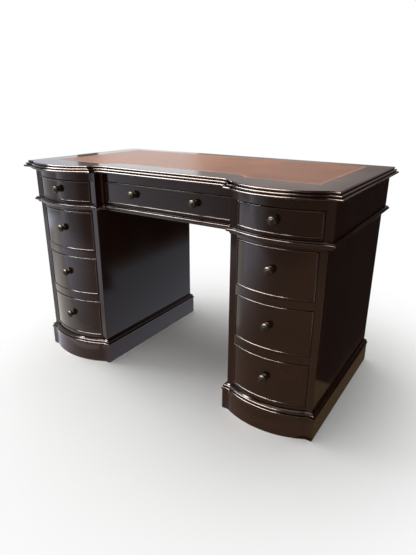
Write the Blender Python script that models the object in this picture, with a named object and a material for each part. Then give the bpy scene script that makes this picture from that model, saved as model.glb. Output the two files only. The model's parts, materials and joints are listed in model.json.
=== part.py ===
"""Twin-pedestal writing desk with a serpentine front, nine drawers and a leather-lined top.

The frieze and both pedestals bow forward, the middle stands back between them, and the same
line runs through the reeded top, the frieze, the waist moulding, the drawers and the plinths.
Metres, +Z up. The front faces -Y and the origin is under the middle of the desk, on the floor.
"""

import math

import bmesh
import bpy
from mathutils import Vector

# Pedestals
kneehole_width = 0.551
pedestal_width = 0.299
case_depth = 0.574
side_thickness = 0.022
back_thickness = 0.010
back_rebate = 0.004
case_bow = 0.031
drawer_opening_height = 0.148
rail_height = 0.0268
rail_depth = 0.034
dust_board_thickness = 0.010
cap_thickness = 0.0087
pedestal_floor_thickness = 0.012

# Plinths
plinth_height = 0.095
plinth_wall = 0.024
plinth_projection = 0.012
plinth_kneehole_projection = 0.0155
plinth_face_setback = 0.0025
plinth_bow = 0.035
plinth_ear = 0.024
plinth_lower_bead = 0.0115
plinth_upper_bead = 0.009
plinth_fillet = 0.0035
plinth_bead_step = 0.0035
plinth_bead_depth = 0.005

# Frieze
frieze_overhang = 0.0105
frieze_side_thickness = 0.025
frieze_opening_height = 0.077
frieze_rail_height = 0.0317
frieze_floor_thickness = 0.005
frieze_stile_width = 0.0387
frieze_stile_depth = 0.022
centre_setback = 0.033
frieze_cove_radius = 0.009
guide_height = 0.014

# Waist moulding
waist_projection = 0.011
waist_cove_height = 0.0075
waist_cove_inset = 0.0092
waist_cove_lip = 0.0042
waist_nose = 0.0085
waist_bead = 0.0045
waist_bead_step = 0.0030
waist_bead_depth = 0.0035

# Moulded top
top_side_overhang = 0.025
top_front_overhang = 0.033
top_back_overhang = 0.018
top_bow = 0.048
top_outer_ear = 0.036
top_inner_ear = 0.018
top_cusp_reach = 0.0115
top_cove_radius = 0.028
reed_height = 0.00783
reed_step = 0.0062
reed_depth = 0.0048

# Leather
leather_side_border = 0.091
leather_back_border = 0.068
leather_centre_setback = 0.042
leather_sweep_width = 0.066
leather_thickness = 0.0012
leather_bed = 0.0003

# Drawers
front_gap = 0.001
front_thickness = 0.020
bead_width = 0.005
bead_proud = 0.0025
bead_slope = 0.0008
bead_round = 0.0014
box_wall = 0.010
box_side_gap = 0.002
box_top_gap = 0.014
box_bottom_thickness = 0.005
box_bottom_rise = 0.008
box_back_gap = 0.020
running_gap = 0.0005

# Knobs
knob_plate_radius = 0.0110
knob_plate_thickness = 0.0030
knob_neck_radius = 0.0052
knob_neck_length = 0.0130
knob_head_radius = 0.0142
knob_head_depth = 0.0170
knob_collar_width = 0.0014
frieze_knob_rise = 0.004
pedestal_knob_rise = 0.007
centre_knob_spacing = 0.252

# Fits
joint_gap = 0.0003
merge_distance = 0.00001

# Counts
bow_steps = 12
cove_steps = 4
sweep_steps = 6
reed_count = 3
reed_facets = 4
knob_facets = 16
knob_head_steps = 8
waist_cove_steps = 3
arris_segments = 2

# Places worked out from the sizes
reed_shares = [i / reed_facets for i in range(reed_facets + 1)]
case_inner_x = kneehole_width / 2
case_outer_x = case_inner_x + pedestal_width
frieze_half = case_outer_x + frieze_overhang
top_half = frieze_half + top_side_overhang
desk_depth = top_bow + top_front_overhang + case_depth + top_back_overhang
case_front_y = top_bow + top_front_overhang - desk_depth / 2
case_back_y = case_front_y + case_depth
frieze_centre_y = case_front_y + centre_setback
top_ear_y = case_front_y - top_front_overhang
top_back_y = case_back_y + top_back_overhang
back_face_y = case_back_y - back_rebate
back_inner_y = back_face_y - back_thickness

pedestal_floor_z = plinth_height
first_opening_z = pedestal_floor_z + pedestal_floor_thickness
opening_pitch = drawer_opening_height + rail_height
cap_z = first_opening_z + 3 * drawer_opening_height + 2 * rail_height
waist_z = cap_z + cap_thickness
waist_nose_z = waist_z + waist_cove_height
frieze_z = waist_nose_z + waist_nose + waist_bead
frieze_opening_z = frieze_z + frieze_floor_thickness
frieze_rail_z = frieze_opening_z + frieze_opening_height
top_z = frieze_rail_z + frieze_rail_height
desk_height = top_z + reed_count * reed_height

opening_inner_x = case_inner_x + side_thickness
opening_outer_x = case_outer_x - side_thickness
frieze_opening_outer_x = frieze_half - frieze_side_thickness
centre_opening_half = opening_inner_x - frieze_stile_width


def clear_scene():
    """Empty the file, so that only the desk is in it."""
    for thing in list(bpy.data.objects):
        bpy.data.objects.remove(thing, do_unlink=True)


def make_material(name, colour, roughness, metallic):
    """A plain surface in one colour."""
    made = bpy.data.materials.new(name)
    made.use_nodes = True
    shader = made.node_tree.nodes["Principled BSDF"]
    shader.inputs["Base Color"].default_value = (*colour, 1.0)
    shader.inputs["Roughness"].default_value = roughness
    shader.inputs["Metallic"].default_value = metallic
    made.diffuse_color = (*colour, 1.0)
    return made


def add_empty(name, place):
    """A parent for a drawer, on the line that the drawer slides along."""
    empty = bpy.data.objects.new(name, None)
    empty.location = place
    bpy.context.scene.collection.objects.link(empty)
    return empty


def finish(name, mesh_data, surface, parent):
    """Turn a bmesh modelled in desk coordinates into an object under its parent."""
    bmesh.ops.recalc_face_normals(mesh_data, faces=mesh_data.faces[:])
    bmesh.ops.translate(mesh_data, verts=mesh_data.verts[:], vec=-parent.location)
    mesh = bpy.data.meshes.new(name)
    mesh_data.to_mesh(mesh)
    mesh_data.free()
    mesh.materials.append(surface)
    mesh.shade_smooth()
    mesh.set_sharp_from_angle(angle=math.radians(38))
    made = bpy.data.objects.new(name, mesh)
    made.parent = parent
    bpy.context.scene.collection.objects.link(made)
    return made


def bow_line(start_x, end_x, ear_y, bow):
    """Points of an arc from one ear to the next, bulging forward by the bow."""
    half_chord = (end_x - start_x) / 2
    radius = (half_chord**2 + bow**2) / (2 * bow)
    half_angle = math.asin(half_chord / radius)
    points = []
    for step in range(bow_steps + 1):
        angle = half_angle * (2 * step / bow_steps - 1)
        x = (start_x + end_x) / 2 + radius * math.sin(angle)
        points.append((x, ear_y - bow + radius * (1 - math.cos(angle))))
    return points


def cove_line(cusp_x, back_y, radius):
    """Points of the hollow quarter round that leads from the middle out to a cusp."""
    points = []
    for step in range(cove_steps + 1):
        angle = math.pi / 2 * step / cove_steps
        points.append((cusp_x - radius + radius * math.sin(angle), back_y - radius + radius * math.cos(angle)))
    return points


def mirrored(points, side):
    """The same outline on the left, walked in the same sense."""
    if side > 0:
        return list(points)
    return [(-x, y) for x, y in reversed(points)]


def offset_outline(points, out):
    """An outline moved outward along its mitres, so that corners stay corners."""
    moved = []
    count = len(points)
    for index, point in enumerate(points):
        before = Vector(point) - Vector(points[index - 1])
        after = Vector(points[(index + 1) % count]) - Vector(point)
        first = Vector((before.y, -before.x)).normalized()
        second = Vector((after.y, -after.x)).normalized()
        mitre = (first + second) / (1 + first.dot(second))
        moved.append((point[0] + mitre.x * out, point[1] + mitre.y * out))
    return moved


def serpentine_outline(half_width, back_y, ear_y, bow, inner_bow_x, outer_bow_x, cusp_x, middle_y, cove):
    """The full plan: bow, cusp and cove on each side of a straight middle."""
    right = cove_line(cusp_x, middle_y, cove)
    right += [(cusp_x, ear_y)]
    right += bow_line(inner_bow_x, outer_bow_x, ear_y, bow)
    right += [(half_width, ear_y), (half_width, back_y)]
    return mirrored(right, -1) + right


def pedestal_outline(inner_x, outer_x, back_y, ear_y, bow, inner_bow_x, outer_bow_x):
    """The plan of one pedestal on the right: ears, bow and square back."""
    front = [(inner_x, ear_y)] + bow_line(inner_bow_x, outer_bow_x, ear_y, bow) + [(outer_x, ear_y)]
    return front + [(outer_x, back_y), (inner_x, back_y)]


def add_ring(mesh_data, points, z):
    """One closed row of vertices at a height."""
    return [mesh_data.verts.new((x, y, z)) for x, y in points]


def join_rings(mesh_data, lower, upper):
    """A band of faces between two rows."""
    count = len(lower)
    for index in range(count):
        following = (index + 1) % count
        mesh_data.faces.new((lower[index], lower[following], upper[following], upper[index]))


def prism(outline, bottom, top):
    """A board cut to an outline."""
    made = bmesh.new()
    lower = add_ring(made, outline, bottom)
    upper = add_ring(made, outline, top)
    join_rings(made, lower, upper)
    made.faces.new(lower)
    made.faces.new(upper)
    return made


def moulded_board(outline, profile):
    """A solid board whose edge follows a profile of (inset, height) from its underside up."""
    made = bmesh.new()
    rings = [add_ring(made, offset_outline(outline, -inset), z) for inset, z in profile]
    for lower, upper in zip(rings, rings[1:]):
        join_rings(made, lower, upper)
    made.faces.new(rings[0])
    made.faces.new(rings[-1])
    return made


def moulded_frame(outline, profile, wall):
    """A hollow frame with a moulded outside and a plain inside."""
    made = bmesh.new()
    rings = [add_ring(made, offset_outline(outline, -inset), z) for inset, z in profile]
    inside = offset_outline(outline, -profile[0][0] - wall)
    rings.append(add_ring(made, inside, profile[-1][1]))
    rings.append(add_ring(made, inside, profile[0][1]))
    for lower, upper in zip(rings, rings[1:] + rings[:1]):
        join_rings(made, lower, upper)
    return made


def round_edge(tip_inset, bottom, height, depth):
    """The half-round of one reed or bead, as (inset, height) from its foot up."""
    points = []
    for share in reed_shares:
        angle = math.pi * (share - 1 / 2)
        points.append((tip_inset + depth * (1 - math.cos(angle)), bottom + height * (1 + math.sin(angle)) / 2))
    return points


def hollow_edge(foot_inset, lip_inset, bottom, height):
    """A hollow under a nose, as (inset, height) from its foot up."""
    points = []
    for step in range(waist_cove_steps + 1):
        angle = math.pi / 2 * step / waist_cove_steps
        inset = foot_inset + (lip_inset - foot_inset) * (1 - math.cos(angle))
        points.append((inset, bottom + height * math.sin(angle)))
    return points


def pull(mesh_data, faces, vec, keep=False):
    """Extrude faces along a vector. Faces that are part of a solid leave nothing behind them."""
    grown = bmesh.ops.extrude_face_region(mesh_data, geom=faces)
    moved = [v for v in grown["geom"] if isinstance(v, bmesh.types.BMVert)]
    bmesh.ops.translate(mesh_data, verts=moved, vec=vec)
    if not keep:
        bmesh.ops.delete(mesh_data, geom=faces, context="FACES_ONLY")


def box_outline(x0, x1, y0, y1):
    """A rectangle in plan."""
    return [(x0, y0), (x1, y0), (x1, y1), (x0, y1)]


def ordered(first, second):
    """Two x values from left to right."""
    return min(first, second), max(first, second)


# Turned knob
def knob_profile():
    """Half of the knob's outline as (radius, distance from the drawer front)."""
    neck_start = knob_plate_thickness
    head_start = neck_start + knob_neck_length
    points = [(0.0, 0.0), (knob_plate_radius, 0.0)]
    points.append((knob_plate_radius, knob_plate_thickness / 2))
    points.append((knob_plate_radius - knob_collar_width, knob_plate_thickness))
    points.append((knob_neck_radius + knob_collar_width, knob_plate_thickness))
    points.append((knob_neck_radius, neck_start + knob_collar_width))
    points.append((knob_neck_radius, head_start))
    neck_angle = math.asin(knob_neck_radius / knob_head_radius)
    for step in range(1, knob_head_steps):
        angle = neck_angle + (math.pi - neck_angle) * step / knob_head_steps
        rise = knob_head_depth * (math.cos(neck_angle) - math.cos(angle)) / (1 + math.cos(neck_angle))
        points.append((knob_head_radius * math.sin(angle), head_start + rise))
    points.append((0.0, head_start + knob_head_depth))
    return points


def add_knob(name, x, face_y, z, surface, parent):
    """Spin the knob's outline about its own axis, which points forward from the drawer."""
    made = bmesh.new()
    row = [made.verts.new((x + r, face_y - joint_gap - out, z)) for r, out in knob_profile()]
    edges = [made.edges.new(pair) for pair in zip(row, row[1:])]
    centre = (x, face_y, z)
    bmesh.ops.spin(
        made,
        geom=row + edges,
        cent=centre,
        axis=(0, -1, 0),
        angle=2 * math.pi,
        steps=knob_facets,
        use_merge=True,
    )
    bmesh.ops.remove_doubles(made, verts=made.verts[:], dist=merge_distance)
    return finish(name, made, surface, parent)


# Drawers
def front_points(x0, x1, opening_x0, opening_x1, face_y, bow):
    """The front edge of anything in a drawer opening, from left to right."""
    if not bow:
        return [(x0, face_y), (x1, face_y)]
    line = bow_line(opening_x0, opening_x1, face_y, bow)
    inside = [(x, y) for x, y in line if x0 + merge_distance < x < x1 - merge_distance]
    return [(x0, height_on(line, x0))] + inside + [(x1, height_on(line, x1))]


def height_on(line, x):
    """The y of a bowed line at an x between its ends."""
    for (ax, ay), (bx, by) in zip(line, line[1:]):
        if ax <= x <= bx:
            return ay + (by - ay) * (x - ax) / (bx - ax)
    return line[0][1] if x < line[0][0] else line[-1][1]


def add_drawer_front(name, span, face_y, bow, bottom, top, surface, parent):
    """A bowed board with a cock bead standing proud all round its face."""
    x0, x1 = span[0] + front_gap, span[1] - front_gap
    outer = front_points(x0, x1, *span, face_y, bow)
    proud = [(x, y - bead_proud) for x, y in outer]
    inner = [(x, y + front_thickness) for x, y in reversed(outer)]
    made = prism(proud + inner, bottom, top)
    bmesh.ops.recalc_face_normals(made, faces=made.faces[:])
    limit = face_y + front_thickness / 2
    face = [f for f in made.faces if f.normal.y < -0.5 and f.calc_center_median().y < limit]
    outline = {e for f in face for e in f.edges if sum(g in face for g in e.link_faces) == 1}
    bmesh.ops.inset_region(made, faces=face, thickness=bead_width, depth=0, use_even_offset=True)
    rim = {e for f in face for e in f.edges if sum(g in face for g in e.link_faces) == 1}
    bmesh.ops.inset_region(made, faces=face, thickness=bead_slope, depth=-bead_proud, use_even_offset=True)
    bmesh.ops.bevel(
        made,
        geom=list(outline | rim),
        offset=bead_round,
        segments=arris_segments,
        profile=0.5,
        affect="EDGES",
        clamp_overlap=True,
    )
    return finish(name, made, surface, parent)


def add_drawer_box(name, span, face_y, bow, bottom, top, surface, parent):
    """Sides, back and raised bottom of a drawer, meeting the inside of its front."""
    x0, x1 = span[0] + box_side_gap, span[1] - box_side_gap
    line = front_points(x0, x1, *span, face_y + front_thickness + joint_gap, bow)
    back_y = back_inner_y - box_back_gap
    left = [p for p in line if p[0] <= x0 + box_wall]
    right = [p for p in line if p[0] >= x1 - box_wall]
    middle = [p for p in line if x0 + box_wall < p[0] < x1 - box_wall]
    left_end = (x0 + box_wall, height_on(line, x0 + box_wall))
    right_end = (x1 - box_wall, height_on(line, x1 - box_wall))
    made = bmesh.new()
    floor_z = bottom + box_bottom_rise
    place = {}

    def corner(point):
        if point not in place:
            place[point] = made.verts.new((*point, floor_z))
        return place[point]

    back_left, back_right = (x0, back_y), (x1, back_y)
    inner_left = (x0 + box_wall, back_y - box_wall)
    inner_right = (x1 - box_wall, back_y - box_wall)
    walls = [
        left + [left_end, inner_left, back_left],
        [right_end] + right + [back_right, inner_right],
        [back_left, inner_left, inner_right, back_right],
    ]
    for wall in walls:
        made.faces.new([corner(p) for p in wall])
    made.faces.new([corner(p) for p in [left_end] + middle + [right_end, inner_right, inner_left]])
    pull(made, made.faces[:], (0, 0, box_bottom_thickness), keep=True)

    def is_wall(face):
        middle_point = face.calc_center_median()
        spread = abs(middle_point.x - (x0 + x1) / 2)
        return spread > (x1 - x0) / 2 - box_wall or middle_point.y > back_y - box_wall

    for level, target in ((floor_z + box_bottom_thickness, top), (floor_z, bottom)):
        flat = [f for f in made.faces if all(abs(v.co.z - level) < merge_distance for v in f.verts)]
        pull(made, [f for f in flat if is_wall(f)], (0, 0, target - level))
    return finish(name, made, surface, parent)


def add_drawer(name, span, face_y, bow, opening_z, opening_height, knob_places, rise):
    """One drawer with its front, box and knobs, under an empty at its runner."""
    slide = add_empty(name + "_slide", Vector(((span[0] + span[1]) / 2, face_y, opening_z)))
    bottom, top = opening_z + front_gap, opening_z + opening_height - front_gap
    add_drawer_front(name + "_front", span, face_y, bow, bottom, top, mahogany, slide)
    box_top = opening_z + opening_height - box_top_gap
    add_drawer_box(name + "_box", span, face_y, bow, opening_z + running_gap, box_top, drawer_wood, slide)
    knob_z = opening_z + opening_height / 2 + rise
    for suffix, x in knob_places:
        add_knob(name + "_knob" + suffix, x, face_y - bow, knob_z, bronze, slide)


# Pedestals
def add_rail(name, span, bottom, parent):
    """A bowed drawer rail with the dust board that runs back from its upper edge."""
    x0, x1 = span[0] + joint_gap, span[1] - joint_gap
    front = front_points(x0, x1, *span, case_front_y, case_bow)
    made = bmesh.new()
    top = bottom + rail_height
    level = top - dust_board_thickness
    rail_y = case_front_y + rail_depth
    row = [made.verts.new((x, y, level)) for x, y in front]
    inner = [made.verts.new((x, rail_y, level)) for x in (x1, x0)]
    behind = [made.verts.new((x, back_inner_y - joint_gap, level)) for x in (x1, x0)]
    rail_face = made.faces.new(row + inner)
    made.faces.new([inner[1], inner[0], behind[0], behind[1]])
    pull(made, made.faces[:], (0, 0, dust_board_thickness), keep=True)
    pull(made, [rail_face], (0, 0, bottom - level))
    return finish(name, made, mahogany, parent)


def bowed_board(span, bottom, top):
    """A board between two pedestal sides with a bowed front edge."""
    x0, x1 = span[0] + joint_gap, span[1] - joint_gap
    front = front_points(x0, x1, *span, case_front_y, case_bow)
    return prism(front + [(x1, back_inner_y - joint_gap), (x0, back_inner_y - joint_gap)], bottom, top)


def add_pedestal(label, side, parent):
    """Two sides, a back, a cap, a floor, two rails and a moulded plinth."""
    name = "pedestal_" + label
    span = ordered(side * opening_inner_x, side * opening_outer_x)
    low, high = plinth_height + joint_gap, waist_z - joint_gap
    sides = (("_inner_side", case_inner_x, opening_inner_x), ("_outer_side", opening_outer_x, case_outer_x))
    for suffix, near, far in sides:
        x0, x1 = ordered(side * near, side * far)
        board = prism(box_outline(x0, x1, case_front_y, case_back_y), low, high)
        finish(name + suffix, board, mahogany, parent)
    x0, x1 = span[0] + joint_gap, span[1] - joint_gap
    back = prism(box_outline(x0, x1, back_inner_y, back_face_y), low, high)
    finish(name + "_back", back, mahogany, parent)
    floor = bowed_board(span, low, first_opening_z)
    finish(name + "_floor", floor, mahogany, parent)
    cap = bowed_board(span, cap_z, high)
    finish(name + "_cap", cap, mahogany, parent)
    lower_rail_z = first_opening_z + drawer_opening_height
    add_rail(name + "_rail_lower", span, lower_rail_z, parent)
    add_rail(name + "_rail_upper", span, lower_rail_z + opening_pitch, parent)
    add_plinth(name + "_plinth", side, parent)


def add_plinth(name, side, parent):
    """A hollow frame with two beads round its upper edge."""
    inner_x = case_inner_x - plinth_kneehole_projection
    outer_x = case_outer_x + plinth_projection
    outline = pedestal_outline(
        inner_x,
        outer_x,
        case_back_y + plinth_projection,
        case_front_y - plinth_projection,
        plinth_bow,
        inner_x + plinth_ear,
        outer_x - plinth_ear,
    )
    upper_z = plinth_height - plinth_fillet - plinth_upper_bead
    lower_z = upper_z - plinth_lower_bead
    profile = [(plinth_face_setback, 0.0), (plinth_face_setback, lower_z)]
    profile += round_edge(0.0, lower_z, plinth_lower_bead, plinth_bead_depth)[1:]
    profile += round_edge(plinth_bead_step, upper_z, plinth_upper_bead, plinth_bead_depth)
    profile += [(plinth_projection - joint_gap, plinth_height)]
    frame = moulded_frame(mirrored(outline, side), profile, plinth_wall)
    finish(name, frame, mahogany, parent)


# Frieze
def frieze_front(start_x, end_x):
    """The frieze's front line between two places on its right half, from left to right."""
    points = cove_line(case_inner_x, frieze_centre_y, frieze_cove_radius)
    points += [(case_inner_x, case_front_y)]
    points += bow_line(opening_inner_x, frieze_opening_outer_x, case_front_y, case_bow)
    return [(x, y) for x, y in points if start_x <= x <= end_x]


def add_frieze(parent):
    """Sides, back, floor, top rail, and the two stiles with their dividers."""
    end = frieze_opening_outer_x - joint_gap
    low, high = frieze_opening_z, top_z - joint_gap
    right_front = frieze_front(0.0, end) + [(end, case_front_y)]
    front = mirrored(right_front, -1) + right_front
    rail_back = frieze_centre_y + frieze_stile_depth
    rail = prism(front + [(end, rail_back), (-end, rail_back)], frieze_rail_z, high)
    finish("frieze_top_rail", rail, mahogany, parent)
    floor_back = back_inner_y - joint_gap
    floor = prism(front + [(end, floor_back), (-end, floor_back)], frieze_z, low - joint_gap)
    finish("frieze_floor", floor, mahogany, parent)
    back = prism(box_outline(-end, end, back_inner_y, back_face_y), frieze_z, high)
    finish("frieze_back", back, mahogany, parent)
    for label, side in (("left", -1), ("right", 1)):
        x0, x1 = ordered(side * frieze_opening_outer_x, side * frieze_half)
        board = prism(box_outline(x0, x1, case_front_y, case_back_y), frieze_z, high)
        finish("frieze_side_" + label, board, mahogany, parent)
        stile_front = [(centre_opening_half, frieze_centre_y)] + frieze_front(0.0, case_inner_x)
        stile_front += [(opening_inner_x, case_front_y)]
        stile = stile_front + [(opening_inner_x, rail_back), (centre_opening_half, rail_back)]
        post = prism(mirrored(stile, side), low, frieze_rail_z - joint_gap)
        finish("frieze_stile_" + label, post, mahogany, parent)
        add_divider("frieze_divider_" + label, side, parent)


def add_divider(name, side, parent):
    """The upright behind a stile, with a foot that guides the middle drawer."""
    low, high = frieze_opening_z, top_z - joint_gap
    front, rear = frieze_centre_y + frieze_stile_depth + joint_gap, back_inner_y - joint_gap
    section = [
        (centre_opening_half, low),
        (opening_inner_x, low),
        (opening_inner_x, high),
        (case_inner_x, high),
        (case_inner_x, low + guide_height),
        (centre_opening_half, low + guide_height),
    ]
    made = bmesh.new()
    face = made.faces.new([made.verts.new((side * x, front, z)) for x, z in section])
    pull(made, [face], (0, rear - front, 0), keep=True)
    finish(name, made, mahogany, parent)


def add_waist(parent):
    """The board between frieze and pedestals, with the moulded nose all round its edge."""
    frieze = serpentine_outline(
        frieze_half,
        case_back_y,
        case_front_y,
        case_bow,
        opening_inner_x,
        frieze_opening_outer_x,
        case_inner_x,
        frieze_centre_y,
        frieze_cove_radius + waist_projection,
    )
    outline = offset_outline(frieze, waist_projection)
    profile = hollow_edge(waist_cove_inset, waist_cove_lip, waist_z, waist_cove_height)
    profile += round_edge(0.0, waist_nose_z, waist_nose, waist_bead_depth)
    profile += round_edge(waist_bead_step, waist_nose_z + waist_nose, waist_bead - joint_gap, waist_bead_depth)
    finish("waist_board", moulded_board(outline, profile), mahogany, parent)


# Top
def leather_outline(shrink):
    """The leather's plan: square corners, with a soft sweep back over the kneehole."""
    half = top_half - leather_side_border - shrink
    back_y = top_back_y - leather_back_border - shrink
    front_y = top_ear_y + leather_side_border + shrink
    start_x = case_inner_x - top_cusp_reach - leather_sweep_width / 2
    right = []
    for step in range(sweep_steps + 1):
        share = step / sweep_steps
        rise = (1 + math.cos(math.pi * share)) / 2
        right.append((start_x + leather_sweep_width * share, front_y + leather_centre_setback * rise))
    right += [(half, front_y), (half, back_y)]
    return mirrored(right, -1) + right


def add_top(parent):
    """The board with three reeds round its edge and a shallow bed for the leather."""
    cusp_x = case_inner_x - top_cusp_reach
    outline = serpentine_outline(
        top_half,
        top_back_y,
        top_ear_y,
        top_bow,
        cusp_x + top_inner_ear,
        top_half - top_outer_ear,
        cusp_x,
        top_ear_y + centre_setback,
        top_cove_radius,
    )
    profile = []
    for reed in range(reed_count):
        profile += round_edge(reed * reed_step, top_z + reed * reed_height, reed_height, reed_depth)
    made = moulded_board(outline, profile)
    made.faces.ensure_lookup_table()
    upper_face = made.faces[-1]
    bed = leather_outline(0.0)
    rim = add_ring(made, bed, desk_height)
    foot = add_ring(made, bed, desk_height - leather_thickness - leather_bed)
    outer = list(upper_face.verts)
    bmesh.ops.delete(made, geom=[upper_face], context="FACES_ONLY")
    loops = [made.edges.new(pair) for ring in (rim,) for pair in zip(ring, ring[1:] + ring[:1])]
    border = [e for e in made.edges if e.verts[0] in outer and e.verts[1] in outer and e.is_boundary]
    bmesh.ops.triangle_fill(made, edges=border + loops, use_beauty=True)
    join_rings(made, foot, rim)
    made.faces.new(foot)
    finish("top_board", made, mahogany, parent)
    leather = prism(leather_outline(leather_bed), desk_height - leather_thickness, desk_height)
    finish("leather_inset", leather, leather_hide, parent)


clear_scene()
mahogany = make_material("mahogany", (0.030, 0.013, 0.010), 0.22, 0.0)
leather_hide = make_material("leather", (0.36, 0.17, 0.10), 0.42, 0.0)
drawer_wood = make_material("drawer_wood", (0.16, 0.075, 0.040), 0.55, 0.0)
bronze = make_material("bronze", (0.20, 0.14, 0.08), 0.32, 1.0)

desk = add_empty("desk", Vector((0, 0, 0)))
add_top(desk)
add_frieze(desk)
add_waist(desk)
for label, side in (("left", -1), ("right", 1)):
    add_pedestal(label, side, desk)
    span = ordered(side * opening_inner_x, side * opening_outer_x)
    knob = [("", (span[0] + span[1]) / 2)]
    for index, row in enumerate(("bottom", "middle", "top")):
        z = first_opening_z + index * opening_pitch
        drawer_name = "drawer_" + label + "_" + row
        add_drawer(
            drawer_name, span, case_front_y, case_bow, z, drawer_opening_height, knob, pedestal_knob_rise
        )
    span = ordered(side * opening_inner_x, side * frieze_opening_outer_x)
    add_drawer(
        "drawer_frieze_" + label,
        span,
        case_front_y,
        case_bow,
        frieze_opening_z,
        frieze_opening_height,
        [("", (span[0] + span[1]) / 2)],
        frieze_knob_rise,
    )
add_drawer(
    "drawer_frieze_centre",
    (-centre_opening_half, centre_opening_half),
    frieze_centre_y,
    0.0,
    frieze_opening_z,
    frieze_opening_height,
    [("_left", -centre_knob_spacing / 2), ("_right", centre_knob_spacing / 2)],
    frieze_knob_rise,
)
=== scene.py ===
# %% [markdown]
# # A serpentine pedestal desk
# The desk stands on two pedestals of drawers. Its front bows out over each pedestal and stands back
# over the kneehole, and every board at the front follows that line. The imported model gives the size
# and place of every board. This lesson makes the curved and moulded pieces again with smooth edges,
# softens the sides and the drawer boxes, and gives each piece its polish, leather or bronze.

# %% The imported desk
import json
import math
from contextlib import contextmanager

import bmesh
import bpy
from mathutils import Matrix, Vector


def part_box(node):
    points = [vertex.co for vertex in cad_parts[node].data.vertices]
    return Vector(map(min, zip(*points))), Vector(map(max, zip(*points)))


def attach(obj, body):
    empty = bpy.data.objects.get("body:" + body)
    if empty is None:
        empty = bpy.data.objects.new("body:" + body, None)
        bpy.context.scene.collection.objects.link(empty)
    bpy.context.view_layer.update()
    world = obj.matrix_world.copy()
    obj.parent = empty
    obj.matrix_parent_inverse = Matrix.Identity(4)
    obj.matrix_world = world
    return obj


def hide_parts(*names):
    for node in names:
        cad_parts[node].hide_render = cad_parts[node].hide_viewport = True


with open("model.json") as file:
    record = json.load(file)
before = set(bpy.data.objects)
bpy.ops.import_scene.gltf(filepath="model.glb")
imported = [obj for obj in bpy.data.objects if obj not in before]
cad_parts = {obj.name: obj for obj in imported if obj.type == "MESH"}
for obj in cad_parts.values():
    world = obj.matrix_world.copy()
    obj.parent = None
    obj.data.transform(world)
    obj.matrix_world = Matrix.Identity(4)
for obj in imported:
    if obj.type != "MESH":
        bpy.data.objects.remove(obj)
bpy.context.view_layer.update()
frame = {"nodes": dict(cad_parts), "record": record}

# %% [markdown]
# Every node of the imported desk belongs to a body, such as a drawer, and has a finish. A piece made
# here takes both from the node that it stands for, so that a drawer front rides with its drawer.

# %% Which piece rides on what
bodies = frame["record"]["behaviour"]["bodies"]
rides_on = {node: body for body, nodes in bodies.items() for node in nodes}
finish_of = {part["node"]: part["material_slot"] for part in frame["record"]["subparts"]}


def stand_for(piece, node):
    """Let a finished piece take the place of a node."""
    piece.name = node + "_fine"
    piece.data.name = piece.name
    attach(piece, rides_on[node])
    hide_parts(node)
    return piece


# %% [markdown]
# ## Camera
# The photograph was taken close up from the right of the desk, about a metre above the floor, so the
# uprights lean together a little. Place, tilt and lens come from fitting the desk's corners to it.

# %% The camera
camera_place = (0.9396, -1.4129, 0.9753)
camera_turns = (69.363, -0.266, 32.781)
camera_data = bpy.data.cameras.new("photo_camera")
camera_data.sensor_fit = "VERTICAL"
camera_data.sensor_height = 36.0
camera_data.lens = 30.0705
camera_data.clip_end = 200.0
camera = bpy.data.objects.new("photo_camera", camera_data)
camera.location = camera_place
camera.rotation_euler = [math.radians(turn) for turn in camera_turns]
bpy.context.scene.collection.objects.link(camera)
bpy.context.scene.camera = camera
print("camera at", camera_place)

# %% [markdown]
# ## Node helpers
# The floor, the cards and every finish are small trees of shader nodes. By hand, a node is added,
# numbers are typed into its sockets, and its output is drawn to the next node. These helpers do that.

# %% Node helpers
white = (1.0, 1.0, 1.0)


def new_material(name):
    """A material with a principled surface, and its tree."""
    made = bpy.data.materials.new(name)
    made.use_nodes = True
    return made, made.node_tree


def fill(tree, node, sockets):
    """Type values into a node's sockets, or link other nodes' outputs. Colours come without alpha."""
    for key, value in sockets.items():
        socket = node.inputs[key]
        if isinstance(value, bpy.types.NodeSocket):
            tree.links.new(value, socket)
        else:
            socket.default_value = (*value, 1.0) if socket.type == "RGBA" else value


def add_node(tree, kind, output, sockets, **settings):
    """Add a node, fill its sockets and return one of its outputs."""
    made = tree.nodes.new("ShaderNode" + kind)
    for key, value in settings.items():
        setattr(made, key, value)
    fill(tree, made, sockets)
    return made.outputs[output] if output else made


def compute(tree, operation, first, second=0.0):
    """The result of a math node on one or two values."""
    return add_node(tree, "Math", "Value", {0: first, 1: second}, operation=operation)


def remap(tree, value, low, high, new_low=0.0, new_high=1.0, curve="LINEAR"):
    """A value that goes between two new ends while it goes between two old ones."""
    sockets = {"Value": value, "From Min": low, "From Max": high, "To Min": new_low, "To Max": new_high}
    return add_node(tree, "MapRange", "Result", sockets, interpolation_type=curve)


def ramp(tree, factor, stops):
    """A soft ramp through (place, colour) stops, from low to high."""
    made = tree.nodes.new("ShaderNodeValToRGB")
    made.color_ramp.interpolation = "EASE"
    elements = made.color_ramp.elements
    elements[0].position, elements[1].position = stops[0][0], stops[-1][0]
    elements[0].color, elements[1].color = (*stops[0][1], 1.0), (*stops[-1][1], 1.0)
    for place, colour in stops[1:-1]:
        elements.new(place).color = (*colour, 1.0)
    fill(tree, made, {"Fac": factor})
    return made.outputs["Color"]


print("node helpers ready")

# %% [markdown]
# ## Floor and light
# The desk stands on a plain pale floor, a large plane that takes its shadow. Away from the desk it
# fades to the same white as the background, so that no horizon shows.

# %% The floor
white_from = 0.45
white_at = 1.35


def seen_as_white(tree):
    """A socket that is 1 for camera, glossy and transmission rays."""
    rays = add_node(tree, "LightPath", None, {})
    reached = rays.outputs["Is Camera Ray"]
    for kind in ("Is Glossy Ray", "Is Transmission Ray"):
        reached = compute(tree, "MAXIMUM", reached, rays.outputs[kind])
    return reached


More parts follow.
